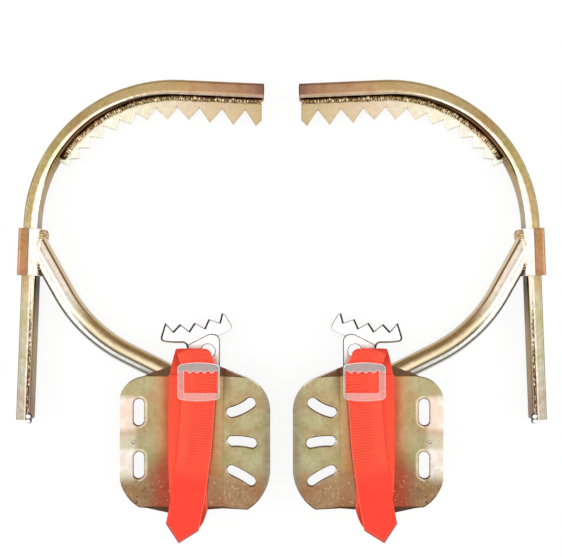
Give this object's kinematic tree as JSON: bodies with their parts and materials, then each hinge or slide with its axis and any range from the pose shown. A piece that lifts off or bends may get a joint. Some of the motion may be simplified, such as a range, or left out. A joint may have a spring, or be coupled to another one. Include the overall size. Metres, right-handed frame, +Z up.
{
  "type": "tree_climbing_spikes",
  "caption": "Pair of hook climbers for trees and poles: toothed hooks that slide in collars, bent arms, winged pedals with front claws, and webbing straps with slide buckles.",
  "frame": {"origin": "Middle of the pair in X and Y, on the surface that the collars and arms lie on.", "axes": "+X across the pair from the left climber to the right one, +Y from the heels to the hooks, +Z up."},
  "size_m": [0.6122, 0.5264, 0.0454],
  "materials": {
    "hook_zinc": "yellow chromate zinc, satin",
    "tooth_zinc": "pale yellow chromate zinc, satin",
    "collar_zinc": "coppery yellow chromate zinc, satin",
    "arm_zinc": "yellow chromate zinc, satin",
    "pedal_zinc": "yellow chromate zinc, satin, mottled",
    "bright_zinc": "bright zinc, satin",
    "weld_metal": "zinc over weld metal",
    "webbing": "woven red webbing",
    "clear_plastic": "translucent moulded plastic"
  },
  "bodies": {
    "left_climber": {"left_collar": "collar_zinc", "left_arm_tube": "arm_zinc", "left_collar_weld": "weld_metal", "left_pedal_plate": "pedal_zinc", "left_pedal_welds": "weld_metal", "left_claw_bracket": "bright_zinc", "left_bracket_weld": "weld_metal", "left_claw": "bright_zinc", "left_claw_weld": "weld_metal", "left_strap": "webbing", "left_strap_buckle": "clear_plastic"},
    "left_hook": {"left_hook_bar": "hook_zinc", "left_tooth_rail": "tooth_zinc", "left_rail_welds": "weld_metal", "left_leg_stop": "weld_metal"},
    "right_climber": {"right_collar": "collar_zinc", "right_arm_tube": "arm_zinc", "right_collar_weld": "weld_metal", "right_pedal_plate": "pedal_zinc", "right_pedal_welds": "weld_metal", "right_claw_bracket": "bright_zinc", "right_bracket_weld": "weld_metal", "right_claw": "bright_zinc", "right_claw_weld": "weld_metal", "right_strap": "webbing", "right_strap_buckle": "clear_plastic"},
    "right_hook": {"right_hook_bar": "hook_zinc", "right_tooth_rail": "tooth_zinc", "right_rail_welds": "weld_metal", "right_leg_stop": "weld_metal"}
  },
  "joints": [
    {"name": "left_hook_slide", "type": "slide", "parent": "left_climber", "child": "left_hook", "axis": [0.0384, 0.9993, 0], "range_m": [0, 0.155]},
    {"name": "right_hook_slide", "type": "slide", "parent": "right_climber", "child": "right_hook", "axis": [-0.0384, 0.9993, 0], "range_m": [0, 0.155]},
    {"name": "pair_spacing", "type": "slide", "parent": "left_climber", "child": "right_climber", "axis": [1, 0, 0], "range_m": [0, 0.25]}
  ]
}
